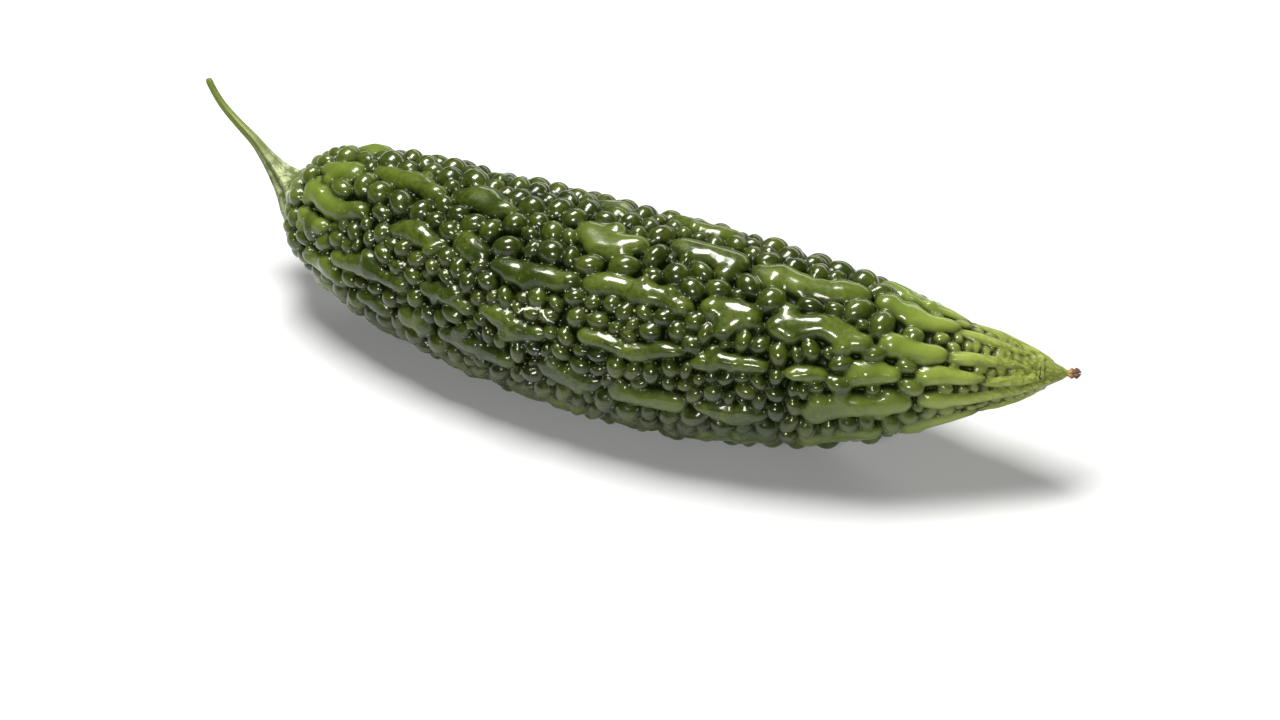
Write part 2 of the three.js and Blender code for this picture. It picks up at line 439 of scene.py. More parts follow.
@dataclass
class WartPlan:
    """Where each bar and each bead goes, and how large it is."""

    line: FruitLine
    rows: tuple[RidgeRow, ...] = RIDGE_ROWS
    crest_height: float = 4.6
    crest_spread: tuple[float, float] = (0.82, 1.07)
    bar_lean: float = 14.0
    knob_spacing: float = 6.5
    knob_aside: tuple[float, float] = (0.3, 0.9)
    knob_width: tuple[float, float] = (0.42, 0.72)
    knob_height: tuple[float, float] = (0.7, 1.08)
    knob_length: tuple[float, float] = (0.8, 1.6)
    smooth_from: tuple[float, float] = (196, 216)
    bead_radii: tuple[float, ...] = (3.5, 3.1, 2.75, 2.4, 2.1, 1.8, 1.5, 1.2, 0.95)
    tries: float = 2.0
    bead_level: float = 1.3
    closeness: float = 0.9
    settling: int = 6
    pairs: float = 0.07
    pair_firmness: float = 3.0
    probes: int = 60_000
    seed: int = 20
    least_patch: float = 2.4
    usual_limit: float = 3.2
    side_limits: tuple[tuple[float, float, float], ...] = ((52, 150, 3.6), (24, 46, 2.6), (-6, 18, 2.7))
    end_limits: tuple[tuple[float, float], ...] = (
        (0, 1.9), (8, 2.5), (20, 3.6), (188, 3.6), (204, 2.3), (216, 1.5), (228, 1.1), (237, 0.95),
    )
    forms: list[RoundForm] = field(default_factory=list)

    def lay(self) -> list[RoundForm]:
        """Lays the bars first, and packs the beads into the room between them.

        Returns:
            Every form, bars first.
        """
        rng = np.random.default_rng(self.seed)
        self.forms = [self._bar(row, bar, rng) for row in self.rows for bar in row.bars]
        bars = len(self.forms)
        self._pack_beads(rng)
        LOG.info("%d bars and %d beads", bars, len(self.forms) - bars)
        return self.forms

    def _bar(self, row: RidgeRow, bar: Bar, rng: np.random.Generator) -> RoundForm:
        """A bar: a chain of rounds that wanders and changes in width, with knobs along its sides.

        Args:
            row: the row it is in.
            bar: the bar.
            rng: the source of its unevenness.

        Returns:
            The form.
        """
        half_length = 1.15 * row.half_width
        first, last = bar.start + 0.8 * half_length, bar.end - 0.8 * half_length
        count = max(2, int(round((last - first) / (0.85 * half_length))) + 1)
        chain = np.linspace(first, last, count)
        knobs = rng.uniform(first, last, round((bar.end - bar.start) / self.knob_spacing))
        along = np.concatenate([chain, knobs])
        spread = partial(rng.uniform, size=len(along))
        share = along / self.line.length
        is_knob = np.arange(len(along)) >= count
        phase = rng.uniform(0, 2 * math.pi, 3)
        room = 2 * math.pi * self.line.core_radius(share) / len(self.rows)
        wander = 1.0 * np.sin(along / 5.0 + phase[0]) + 0.6 * np.sin(along / 2.6 + phase[1])
        towards_tip = smooth_rise(along, *self.smooth_from)
        swell = 1.04 + 0.12 * np.sin(along / 2.3 + phase[2]) + spread(-0.16, 0.16)
        swell[[0, count - 1]] *= 0.86
        width = np.minimum(row.half_width * bar.width * swell, room * (0.4 - 0.13 * towards_tip))
        beside = rng.choice([-1, 1], len(along)) * spread(*self.knob_aside) * width
        aside = (np.where(is_knob, beside, 0.0) + wander) * (1 - towards_tip)
        width = np.where(is_knob, width * spread(*self.knob_width), width)
        angle = row.angle + bar.turn + np.degrees(aside / self.line.core_radius(share))
        height = self.line.wart_share(share) * self.crest_height * spread(*self.crest_spread)
        height *= np.where(is_knob, spread(*self.knob_height), 1.0) * (1 - 0.15 * towards_tip)
        below = 0.3 * height
        places, axes = self.line.on_skin(share, angle, below)
        lean = np.where(is_knob, 3.0, 1.0) * spread(-self.bar_lean, self.bar_lean)
        axes = self._turned(axes, np.radians(lean) * (1 - towards_tip))
        knob_lengths = width * spread(*self.knob_length)
        lengths = np.where(is_knob, knob_lengths, half_length * (1 + 0.5 * towards_tip))
        lengths = np.minimum(lengths, np.maximum(self.line.length - along, 1.0))
        sizes = np.stack([lengths, np.maximum(width - 0.2, 0.5), np.maximum(height - below, 0.35)], axis=1)
        return RoundForm(places, axes, sizes, True, float(rng.uniform(-1, 1)))

    @staticmethod
    def _turned(axes: Array, lean: Array) -> Array:
        """Turns sets of directions about their own outward one.

        Args:
            axes: the sets, each with its directions in rows.
            lean: the angles, in radians.

        Returns:
            The turned sets.
        """
        cosine, sine = np.cos(lean)[:, None], np.sin(lean)[:, None]
        first = cosine * axes[:, 0] + sine * axes[:, 1]
        second = cosine * axes[:, 1] - sine * axes[:, 0]
        return np.stack([first, second, axes[:, 2]], axis=1)

    def _largest_bead(self, along: Array, angle: Array) -> Array:
        """The largest bead radius that a spot on the skin carries.

        Args:
            along: distances from the stem end.
            angle: angles round the fruit, from -180 to 180.

        Returns:
            One radius for each spot.
        """
        largest = np.full(along.shape, self.usual_limit)
        for low, high, limit in self.side_limits:
            largest = np.where((angle > low) & (angle < high), limit, largest)
        stations, limits = np.transpose(self.end_limits)
        return np.minimum(largest, np.interp(along, stations, limits))

    def _probe(self, rng: np.random.Generator, count: int, last: float) -> tuple[Array, Array, float]:
        """Spots thrown evenly over the skin.

        Args:
            rng: the source of the throws.
            count: how many.
            last: the share of the length where they end, towards the tip.

        Returns:
            Their shares of the length, their angles, and the area that each stands for.
        """
        stations = np.linspace(0.012, last, 500)
        girth = self.line.core_radius(stations) * np.hypot(1.0, self.line.core_slope(stations))
        area = 2 * math.pi * float(np.mean(girth)) * self.line.length * (stations[-1] - stations[0])
        share = np.interp(rng.random(count), np.cumsum(girth) / np.sum(girth), stations)
        return share, rng.uniform(-180, 180, count), area / count

    def _pack_beads(self, rng: np.random.Generator) -> None:
        """Throws beads at the skin, lets them share the free room out, and fits each to its own patch.

        Args:
            rng: the source of the throws.
        """
        bars = stacked(self.forms)
        spots, radii = self._thrown(rng, bars)
        share, angle, each = self._probe(rng, self.probes, 0.972)
        room, _ = self.line.on_skin(share, angle, self.bead_level)
        room = room[self._clear_of_bars(room, np.full(len(room), 0.35), *bars)]
        for _ in range(self.settling):
            owner = self._owners(room, spots, radii)
            count = np.bincount(owner, minlength=len(spots))
            sums = [np.bincount(owner, room[:, axis], len(spots)) for axis in range(3)]
            kept = count * each > self.least_patch
            spots = (np.stack(sums, axis=1) / np.maximum(count, 1)[:, None])[kept]
            radii = 0.6 * radii[kept] + 0.4 * np.sqrt(count[kept] * each / math.pi)
        self._fit_beads(room, self._owners(room, spots, radii), spots, rng)

    def _thrown(self, rng: np.random.Generator, bars: tuple[Array, Array, Array]) -> tuple[Array, Array]:
        """Throws beads at the skin, large ones first, and keeps each that finds room.

        Args:
            rng: the source of the throws.
            bars: the middles, directions and half sizes of the bars' rounds.

        Returns:
            The kept beads' middles and radii.
        """
        spots, radii, kept = np.empty((9000, 3)), np.empty(9000), 0
        share, angle, area = self._probe(rng, 1, 0.97)
        for radius in self.bead_radii:
            share, angle, _ = self._probe(rng, int(self.tries * area / radius**2), 0.97)
            sizes = radius * rng.uniform(0.92, 1.08, len(share))
            largest = self._largest_bead(share * self.line.length, angle)
            fits = (sizes <= largest) & (sizes > 0.5 * largest)
            share, angle, sizes = share[fits], angle[fits], sizes[fits]
            thrown, _ = self.line.on_skin(share, angle, self.bead_level)
            for i in np.flatnonzero(self._clear_of_bars(thrown, sizes, *bars)):
                apart = self.closeness * (radii[:kept] + sizes[i])
                if np.any(np.sum((spots[:kept] - thrown[i]) ** 2, axis=1) < apart**2):
                    continue
                spots[kept], radii[kept] = thrown[i], sizes[i]
                kept += 1
        return spots[:kept], radii[:kept]

    @staticmethod
    def _owners(room: Array, spots: Array, radii: Array) -> Array:
        """Which bead each spot of free skin belongs to: larger beads reach further.

        Args:
            room: the spots of free skin.
            spots: the middles of the beads.
            radii: their radii.

        Returns:
            One bead's number for each spot.
        """
        tree = KDTree(len(spots))
        for index, spot in enumerate(spots.tolist()):
            tree.insert(spot, index)
        tree.balance()
        pull = (0.8 * radii).tolist()
        owners = []
        for place in room.tolist():
            nearest = min(tree.find_n(place, 5), key=lambda near: near[2] - pull[near[1]])
            owners.append(nearest[1])
        return np.array(owners)

    def _fit_beads(self, room: Array, owner: Array, spots: Array, rng: np.random.Generator) -> None:
        """Makes a bead in each patch of skin, as long and as wide as the patch.

        Args:
            room: the spots of free skin.
            owner: the patch that each belongs to.
            spots: the middles of the patches.
            rng: the source of the beads' unevenness.
        """
        share, angle, _, _ = self.line.locate(spots)
        _, axes = self.line.on_skin(share, angle)
        off = room - spots[owner]
        u = np.sum(off * axes[owner, 0], axis=1)
        v = np.sum(off * axes[owner, 1], axis=1)
        count = np.maximum(np.bincount(owner, minlength=len(spots)), 1)
        uu, vv, uv = (np.bincount(owner, part, len(spots)) / count for part in (u * u, v * v, u * v))
        middle, half = (uu + vv) / 2, np.hypot((uu - vv) / 2, uv)
        long = 2 * np.sqrt(middle + half)
        wide = 2 * np.sqrt(np.maximum(middle - half, 0.05))
        largest = self._largest_bead(share * self.line.length, angle)
        radius = np.minimum(np.sqrt(long * wide), 1.15 * largest)
        ratio = np.minimum(np.sqrt(long / wide), 1.22)
        lean = 0.5 * np.arctan2(2 * uv, uu - vv)
        shapes = zip(share, angle, radius, ratio.tolist(), lean.tolist())
        beads = [self._bead(*shape, rng) for shape in shapes]
        self.forms += self._joined(beads, spots, rng)

    def _joined(self, beads: list[RoundForm], spots: Array, rng: np.random.Generator) -> list[RoundForm]:
        """Lets a few beads run together with the one beside them.

        Args:
            beads: the beads.
            spots: their middles.
            rng: the source of the choice.

        Returns:
            The beads, fewer by one for each pair that ran together.
        """
        partner: dict[int, int] = {}
        for i in np.flatnonzero(rng.random(len(beads)) < self.pairs):
            apart = np.sum((spots - spots[i]) ** 2, axis=1)
            apart[i] = np.inf
            other = int(np.argmin(apart))
            if int(i) not in partner and other not in partner:
                partner[int(i)], partner[other] = other, int(i)
        kept = []
        for i, bead in enumerate(beads):
            other = partner.get(i, i)
            if other > i:
                bead = RoundForm(*stacked((bead, beads[other])), False, bead.shade, self.pair_firmness)
            if other >= i:
                kept.append(bead)
        return kept

    @staticmethod
    def _clear_of_bars(spots: Array, radii: Array, centres: Array, axes: Array, sizes: Array) -> Array:
        """Which beads would lie clear of the bars.

        Args:
            spots: the middles of the beads.
            radii: their radii.
            centres: the middles of the bars' rounds.
            axes: the directions of those rounds.
            sizes: the half sizes of those rounds.

        Returns:
            True for each bead that is clear.
        """
        clear = np.ones(len(spots), bool)
        for centre, axis, size in zip(centres, axes, sizes):
            near = np.flatnonzero(np.sum((spots - centre) ** 2, axis=1) < 144.0)
            local = (spots[near] - centre) @ axis[:2].T
            reach = size[:2] + 0.72 * radii[near, None]
            clear[near] &= np.sum((local / reach) ** 2, axis=1) > 1.0
        return clear

    def _bead(
        self, share: float, angle: float, radius: float, ratio: float, lean: float, rng: np.random.Generator
    ) -> RoundForm:
        """One bead, a little longer one way than the other.

        Args:
            share: its share of the fruit's length.
            angle: its angle round the fruit.
            radius: its radius.
            ratio: how much longer than that it is one way, and narrower the other.
            lean: the angle from the fruit's length to its long way, in radians.
            rng: the source of its unevenness.

        Returns:
            The form.
        """
        hanging = float(smooth_rise(-angle, 12, 45) * (1 - smooth_rise(-angle, 120, 170)))
        sunk = float(self.line.wart_share(np.array(share)))
        top = sunk * (1.55 + 0.95 * radius + 0.5 * hanging + rng.uniform(-0.35, 0.35))
        tall = min(radius * rng.uniform(1.0, 1.18) * (1 + 0.25 * hanging), max(top - 0.2, 0.5))
        places, axes = self.line.on_skin(np.array([share]), np.array([angle]), max(top - tall, 0.05))
        axes = self._turned(axes, np.array([lean]))
        tilt = rng.normal(0, 0.13, 2) * min(sunk * 1.5, 1.0)
        axes[0, 2] = unit(axes[0, 2] + tilt[0] * axes[0, 0] + tilt[1] * axes[0, 1])
        axes[0, 0] = unit(axes[0, 0] - axes[0, 2] * np.dot(axes[0, 0], axes[0, 2]))
        axes[0, 1] = np.cross(axes[0, 2], axes[0, 0])
        plump = radius * rng.uniform(0.98, 1.1)
        sizes = np.array([[plump * ratio, plump / ratio, tall]])
        return RoundForm(places, axes, sizes, False, float(rng.uniform(-1, 1)))


@dataclass
class Blend:
    """Sums over raised forms, weighted by how near each form is."""

    weight: Array
    slope: Array
    ridge: Array
    shade: Array

    @classmethod
    def of(cls, weight: Array, slope: Array) -> "Blend":
        """Starts the sums from one surface.

        Args:
            weight: the surface's weight at each place.
            slope: the direction away from it at each place.

        Returns:
            The sums.
        """
        return cls(weight, slope * weight[:, None], np.zeros_like(weight), np.zeros_like(weight))

    def take(self, some: Array, weight: Array, slope: Array, ridge: float, shade: float) -> None:
        """Adds a form.

        Args:
            some: which places it touches.
            weight: its weight there.
            slope: the direction away from it there.
            ridge: 1 for a bar and 0 for a bead.
            shade: the form's own shade.
        """
        self.weight[some] += weight
        self.slope[some] += weight[:, None] * slope
        self.ridge[some] += weight * ridge
        self.shade[some] += weight * shade


def weight_of(gap: Array, firmness: Array | float) -> Array:
    """How much a form counts at a place, by how far off its surface is."""
    return np.exp(-firmness * np.clip(gap, -2.0, 5.0))


@dataclass
class SkinField:
    """The fruit's exact surface: the skin between the warts, run together with every raised form."""

    line: FruitLine
    forms: list[RoundForm]
    firmness: float = 6.0
    softness: float = 3.2
    tip_firming: float = 4.5
    # How fast the crease share fades away from a crease; the skin's finish paints shade by that share.
    crease_width: float = 0.95
    reach: float = 2.6
    near: list[Array] = field(default_factory=list)

    def prepare(self, places: Array) -> None:
        """Notes which places each form can touch.

        Args:
            places: one place per row. They may move by a small part of the reach later.
        """
        order = np.argsort(places[:, 0])
        sorted_x = places[order, 0]
        self.near = []
        for form in self.forms:
            limits = form.sizes.max(axis=1) + self.reach
            low, high = np.min(form.centres[:, 0] - limits), np.max(form.centres[:, 0] + limits)
            first, last = np.searchsorted(sorted_x, [low, high])
            some = order[first:last]
            close = np.zeros(len(some), bool)
            for centre, limit in zip(form.centres, limits):
                close |= np.sum((places[some] - centre) ** 2, axis=1) < limit**2
            self.near.append(some[close])

    def at(self, places: Array) -> dict[str, Array]:
        """Reads the surface at places near it.

        Args:
            places: the places that prepare was given, or the same ones moved a little.

        Returns:
            The distance and its slope, and for the material the shares ridge, crease and shade.
        """
        share, _, radius, away = self.line.locate(places)
        along, _, _ = self.line.directions(share)
        lean = self.line.core_slope(share)
        fall = np.hypot(1.0, lean)
        apart = (radius - self.line.core_radius(np.clip(share, 0, 1))) / fall
        slope = (away - lean[:, None] * along) / fall[:, None]
        past_ends = ((-share * self.line.length, -along), ((share - 1) * self.line.length, along))
        for beyond, outwards in past_ends:
            over_end = beyond > apart
            apart = np.where(over_end, beyond, apart)
            slope = np.where(over_end[:, None], outwards, slope)
        soft = self.softness + self.tip_firming * smooth_rise(share * self.line.length, 198, 216)
        low = Blend.of(weight_of(apart, soft), slope)
        high = Blend.of(np.full(len(places), 1e-9), np.zeros_like(slope))
        nearest, second = apart.copy(), np.full(len(places), 9.0)
        for form, some in zip(self.forms, self.near):
            gap, steepest = form.distance(places[some])
            if form.is_bar:
                low.take(some, weight_of(gap, soft[some]), steepest, 1.0, form.shade)
            else:
                high.take(some, weight_of(gap, self.firmness), steepest, 0.0, form.shade)
            second[some] = np.minimum(second[some], np.maximum(nearest[some], gap))
            nearest[some] = np.minimum(nearest[some], gap)
        shares = []
        for blend, firmness in ((low, soft), (high, self.firmness)):
            shares.append(np.exp(soft * np.clip(np.log(blend.weight) / firmness, -5.0, 2.0)))
        total = shares[0] + shares[1]
        parts = [share / (total * blend.weight) for share, blend in zip(shares, (low, high))]
        ridge = parts[0] * low.ridge
        bar_foot = 1 - 2 * ridge * (1 - ridge)
        return {
            "distance": -np.log(total) / soft,
            "slope": parts[0][:, None] * low.slope + parts[1][:, None] * high.slope,
            "ridge": ridge,
            "crease": np.exp(-np.clip(second - nearest, 0, 9) / self.crease_width) * bar_foot,
            "shade": parts[0] * low.shade + parts[1] * high.shade,
        }

    def settle(self, places: Array, rounds: int = 5) -> Array:
        """Moves places onto the surface.

        Args:
            places: one place per row, each within a millimetre or so of the surface.
            rounds: how many times to move them.

        Returns:
            The moved places.
        """
        self.prepare(places)
        for _ in range(rounds):
            read = self.at(places)
            steep = np.maximum(np.sum(read["slope"] ** 2, axis=1), 0.35)
            step = np.clip(read["distance"] / steep, -0.45, 0.45)
            places = places - step[:, None] * read["slope"]
        return places


class NodePen:
    """Adds nodes to a tree and joins them."""

    def __init__(self, tree: bpy.types.NodeTree) -> None:
        """Takes the tree and empties it."""
        self.tree = tree
        tree.nodes.clear()

    def add(self, kind: str, settings: dict | None = None, **inputs: object) -> bpy.types.Node:
        """Adds a node.

        Args:
            kind: the node's type.
            settings: its own settings, by name.
            inputs: values or sockets for its inputs. An underscore stands for a space in a name,
                and a name that starts with "n" and a number is the input of that number.

        Returns:
            The node.
        """
        node = self.tree.nodes.new(kind)
        for name, value in (settings or {}).items():
            setattr(node, name, value)
        for name, value in inputs.items():
            numbered = name[0] == "n" and name[1:].isdigit()
            socket = node.inputs[int(name[1:]) if numbered else name.replace("_", " ")]
            if isinstance(value, bpy.types.NodeSocket):
                self.tree.links.new(value, socket)
            else:
                socket.default_value = value
        return node

    def math(
        self, operation: str, first: object, second: object = 0.0, clamp: bool = False
    ) -> bpy.types.NodeSocket:
        """A sum, product or other working on one or two values."""
        settings = {"operation": operation, "use_clamp": clamp}
        return self.add("ShaderNodeMath", settings, n0=first, n1=second).outputs[0]

    def vector(self, operation: str, *values: object) -> bpy.types.NodeSocket:
        """A working on two or three vectors."""
        inputs = {f"n{index}": value for index, value in enumerate(values)}
        return self.add("ShaderNodeVectorMath", {"operation": operation}, **inputs).outputs[0]

    def times(self, *factors: object) -> object:
        """The product of two or more values."""
        return reduce(partial(self.math, "MULTIPLY"), factors)

    def plus(self, *parts: object) -> object:
        """The sum of two or more values."""
        return reduce(partial(self.math, "ADD"), parts)

    def less(self, value: object, taken: object, clamp: bool = False) -> bpy.types.NodeSocket:
        """What is left of a value when another is taken from it."""
        return self.math("SUBTRACT", value, taken, clamp)

    def apart(self, value: object, middle: float) -> bpy.types.NodeSocket:
        """How far a value is from a middle, either way."""
        return self.math("ABSOLUTE", self.less(value, middle))

    def noise(self, place: object, scale: object, detail: float, roughness: float = 0.5) -> bpy.types.Node:
        """Soft random patches."""
        return self.add("ShaderNodeTexNoise", Vector=place, Scale=scale, Detail=detail, Roughness=roughness)

    def effect(self, group: bpy.types.NodeTree, place: object, **inputs: float) -> bpy.types.NodeSocket:
        """The value that a shared effect puts out."""
        return self.add("ShaderNodeGroup", {"node_tree": group}, Place=place, **inputs).outputs[0]

    def ramp(
        self, value: object, low: float, high: float, start: float = 0.0, end: float = 1.0
    ) -> bpy.types.NodeSocket:
        """A value carried from one range to another along a soft step."""
        settings = {"interpolation_type": "SMOOTHSTEP"}
        node = self.add("ShaderNodeMapRange", settings, Value=value)
        for name, number in (("From Min", low), ("From Max", high), ("To Min", start), ("To Max", end)):
            node.inputs[name].default_value = number
        return node.outputs["Result"]

    def blend(self, share: object, first: object, second: object) -> bpy.types.NodeSocket:
        """One colour blended into another."""
        node = self.tree.nodes.new("ShaderNodeMix")
        node.data_type = "RGBA"
        for socket, value in ((node.inputs[0], share), (node.inputs[6], first), (node.inputs[7], second)):
            if isinstance(value, bpy.types.NodeSocket):
                self.tree.links.new(value, socket)
            else:
                socket.default_value = (*value, 1.0) if isinstance(value, tuple) else value
        return node.outputs[2]

    def share(self, name: str) -> bpy.types.NodeSocket:
        """A number stored on the mesh."""
        return self.add("ShaderNodeAttribute", {"attribute_name": name}).outputs["Fac"]


class SharedEffects:
    """Effects that more than one finish uses, each a group of nodes that is built once."""

    def __init__(self) -> None:
        """Builds the groups."""
        self.mottle = self._mottle()
        self.pores = self._pores()

    @staticmethod
    def _group(
        name: str, inputs: dict[str, float], output: str
    ) -> tuple[bpy.types.NodeTree, NodePen, bpy.types.Node]:
        """Starts a group that reads a place and some numbers, and puts out one value.

        Args:
            name: the group's name.
            inputs: each number's name and usual value.
            output: the name of the value it puts out.

        Returns:
            The group, a pen on it, and its input node.
        """
        group = bpy.data.node_groups.new(name, "ShaderNodeTree")
        pen = NodePen(group)
        group.interface.new_socket("Place", in_out="INPUT", socket_type="NodeSocketVector")
        for label, value in inputs.items():
            socket = group.interface.new_socket(label, in_out="INPUT", socket_type="NodeSocketFloat")
            socket.default_value = value
        group.interface.new_socket(output, in_out="OUTPUT", socket_type="NodeSocketFloat")
        return group, pen, pen.add("NodeGroupInput")

    def _mottle(self) -> bpy.types.NodeTree:
        """Soft patches of lighter and darker colour over small flecks."""
        group, pen, source = self._group("Mottle", {"Patch Scale": 90.0, "Fleck Scale": 700.0}, "Patches")
        place, patch, fleck = (source.outputs[i] for i in range(3))
        patches = pen.noise(place, patch, 3.0, 0.55).outputs[0]
        flecks = pen.noise(place, fleck, 2.0, 0.6).outputs[0]
        mixed = pen.plus(pen.times(patches, 0.65), pen.times(flecks, 0.35))
        pen.add("NodeGroupOutput", n0=pen.ramp(mixed, 0.39, 0.61))
        return group

    def _pores(self) -> bpy.types.NodeTree:
        """Fine unevenness of a plant's skin, as a height."""
        scales = {"Pore Scale": 2600.0, "Swell Scale": 420.0}
        group, pen, source = self._group("Skin Pores", scales, "Height")
        place, pore, swell = (source.outputs[i] for i in range(3))
        cells = pen.add("ShaderNodeTexVoronoi", {"feature": "F1"}, Vector=place, Scale=pore)
        swells = pen.noise(place, swell, 2.0).outputs[0]
        height = pen.plus(pen.times(cells.outputs["Distance"], 0.22), pen.times(swells, 0.78))
        pen.add("NodeGroupOutput", n0=height)
        return group


class Finish:
    """What every finish starts from."""

    name: str = "finish"

    def start(self) -> tuple[bpy.types.Material, NodePen, bpy.types.NodeSocket]:
        """Makes an empty material.

        Returns:
            The material, a pen on its nodes, and the place on the piece, in metres.
        """
        material = bpy.data.materials.new(self.name)
        material.use_nodes = True
        pen = NodePen(material.node_tree)
        return material, pen, pen.add("ShaderNodeTexCoord").outputs["Object"]

    @staticmethod
    def close(
        pen: NodePen, colour: object, roughness: object, normal: bpy.types.NodeSocket, **plain: float
    ) -> bpy.types.Node:
        """Adds the shader and the output.

        Args:
            pen: the pen on the material's nodes.
            colour: the base colour.
            roughness: the roughness.
            normal: the normal, with the fine relief on it.
            plain: numbers that are the same all over, by socket name.

        Returns:
            The shader.
        """
        shader = pen.add("ShaderNodeBsdfPrincipled", Base_Color=colour, Roughness=roughness, Normal=normal)
        for name, value in plain.items():
            shader.inputs[name.replace("_", " ")].default_value = value
        pen.add("ShaderNodeOutputMaterial", Surface=shader.outputs[0])
        return shader


@dataclass(frozen=True)
class SkinFinish(Finish):
    """The waxy green skin: dark beads, lighter bars, a yellow-green tip, and painted shade in the creases
    and low on the warts.

    A change holds where it starts and ends, in millimetres from the stem end or as a share of a
    wart's height, and the shares that it goes from and to.
    """

    effects: SharedEffects
    name: str = "waxy_green_skin"
    # Painted shade, laid into the creases between warts and low on the warts' flanks.
    painted_shade: Colour = (0.004, 0.008, 0.001)
    bead: Colour = (0.0145, 0.0245, 0.002)
    bead_light: Colour = (0.043, 0.061, 0.005)
    ripe_bead: Colour = (0.085, 0.125, 0.015)
    bar: Colour = (0.023, 0.037, 0.003)
    bar_light: Colour = (0.072, 0.1, 0.012)
    ripe_bar: Colour = (0.15, 0.21, 0.03)
    wrinkle: Colour = (0.1, 0.14, 0.025)
    tip: Colour = (0.355, 0.41, 0.09)
    speck: Colour = (0.5, 0.55, 0.38)
    crack: Colour = (0.03, 0.03, 0.01)
    shoulder: Colour = (0.2, 0.25, 0.1)
    peel: Colour = (0.62, 0.66, 0.55)
    own_shade: float = 0.25
    bead_ripening: tuple[Change, ...] = ((165, 212, 0.0, 0.75), (50, 8, 0.0, 0.4))
    bar_ripening: tuple[Change, ...] = ((160, 215, 0.0, 0.9), (50, 8, 0.0, 0.55))
    bar_paling: Change = (80, 190, 0.45, 1.0)
    tip_ripening: Change = (192, 230, 0.0, 0.9)
    # Painted shade on each wart's low flank: none near its top, full near the skin between the warts.
    painted_flank_shade: Change = (0.9, 0.3, 0.0, 1.0)
    # How strong the painted shade is near the tip and near the stem end.
    painted_shade_at_tip: Change = (236, 212, 0.42, 0.95)
    painted_shade_at_stem: Change = (0, 12, 0.4, 1.0)
    shoulder_edge: Change = (13, 0, 0.0, 1.0)
    shoulder_height: Change = (0.1, 0.9, 0.35, 0.8)
    gloss_at_tip: Change = (234, 198, 0.65, 1.0)
    wrinkles_from: Change = (206, 224, 0.0, 1.0)
    wrinkle_scale: float = 640.0
    speck_scale: float = 680.0
    speck_angle: float = 26.0
    peel_middle: float = 97.6
    peel_angle: float = 32.3
    split_middle: float = 230.8
    split_angle: float = 36.0

    def build(self) -> bpy.types.Material:
        """Builds the material."""
        material, pen, place = self.start()
        ridge, crease, shade = pen.share("ridge"), pen.share("crease"), pen.share("shade")
        along, lift, angle = pen.share("along"), pen.share("lift"), pen.share("angle")
        mottle = pen.effect(self.effects.mottle, place)
        wrinkle = self._wrinkles(pen, place, along)
        split = self._split(pen, place, along, angle)
        # Painted shade: darkens the creases between warts and each wart's low flank, less so at both ends.
        painted_shade_share = pen.math("MAXIMUM", crease, pen.ramp(lift, *self.painted_flank_shade), clamp=True)
        painted_shade_share = pen.times(painted_shade_share, pen.ramp(along, *self.painted_shade_at_tip), pen.ramp(along, *self.painted_shade_at_stem))
        beside_stem = pen.times(pen.ramp(along, *self.shoulder_edge), pen.ramp(lift, *self.shoulder_height))
        varied = pen.math("ADD", mottle, pen.times(shade, self.own_shade), clamp=True)
        body = self._flesh(pen, varied, ridge, along)
        for cover, colour in (
            (pen.times(wrinkle, 0.5), self.wrinkle),
            (painted_shade_share, self.painted_shade),
            (self._specks(pen, place, crease, along, angle), self.speck),
            (self._peel(pen, place, along, angle), self.peel),
            (beside_stem, self.shoulder),
            (split, self.crack),
        ):
            body = pen.blend(cover, body, colour)
        sunk = pen.plus(pen.times(split, 0.7), pen.times(wrinkle, 0.8))
        height = pen.less(pen.effect(self.effects.pores, place), sunk)
        bump = pen.add("ShaderNodeBump", Strength=0.32, Distance=0.0006, Height=height)
        roughness = pen.plus(pen.times(mottle, 0.12), pen.times(crease, 0.12), pen.times(ridge, 0.06), 0.3)
        gloss = pen.times(pen.less(1.0, painted_shade_share, clamp=True), pen.ramp(along, *self.gloss_at_tip))
        gloss = pen.times(gloss, pen.less(1.0, pen.times(ridge, 0.2)))
        shader = self.close(
            pen, body, roughness, bump.outputs[0], Specular_IOR_Level=0.1, Coat_Roughness=0.16
        )
        pen.tree.links.new(gloss, shader.inputs["Coat Weight"])
        return material

    def _flesh(self, pen: NodePen, varied: object, ridge: object, along: object) -> object:
        """The colour of the beads and the bars, which ripen towards both ends.

        Args:
            pen: the pen on the material's nodes.
            varied: how light each place is within its own kind.
            ridge: 1 on the bars and 0 on the beads.
            along: the distance from the stem end.

        Returns:
            The colour.
        """
        bead = pen.blend(varied, self.bead, self.bead_light)
        for ripening in self.bead_ripening:
            bead = pen.blend(pen.ramp(along, *ripening), bead, self.ripe_bead)
        bar = pen.blend(varied, self.bar, self.bar_light)
        body = pen.blend(pen.times(ridge, pen.ramp(along, *self.bar_paling)), bead, bar)
        for ripening in self.bar_ripening:
            body = pen.blend(pen.times(pen.ramp(along, *ripening), ridge), body, self.ripe_bar)
        return pen.blend(pen.ramp(along, *self.tip_ripening), body, self.tip)

    def _specks(self, pen: NodePen, place: object, crease: object, along: object, angle: object) -> object:
        """Fine whitish specks in the creases, most of them on the -Y side of the stem half.

        Args:
            pen: the pen on the material's nodes.
            place: the place on the piece.
            crease: how deep in a crease each place is.
            along: the distance from the stem end.
            angle: the angle round the fruit.

        Returns:
            Where the specks are, from 0 to 1.
        """
        cells = pen.add("ShaderNodeTexVoronoi", {"feature": "F1"}, Vector=place, Scale=self.speck_scale)
        speck = pen.times(
            pen.ramp(cells.outputs["Distance"], 0.26, 0.17), pen.ramp(cells.outputs["Color"], 0.48, 0.56)
        )
        speck = pen.times(speck, pen.ramp(crease, 0.15, 0.5, 0.08, 1.0))
        dusty = pen.ramp(pen.apart(angle, self.speck_angle), 60, 20, 0.3, 1.0)
        return pen.times(speck, pen.times(dusty, pen.ramp(along, 160, 95, 0.08, 0.95)))

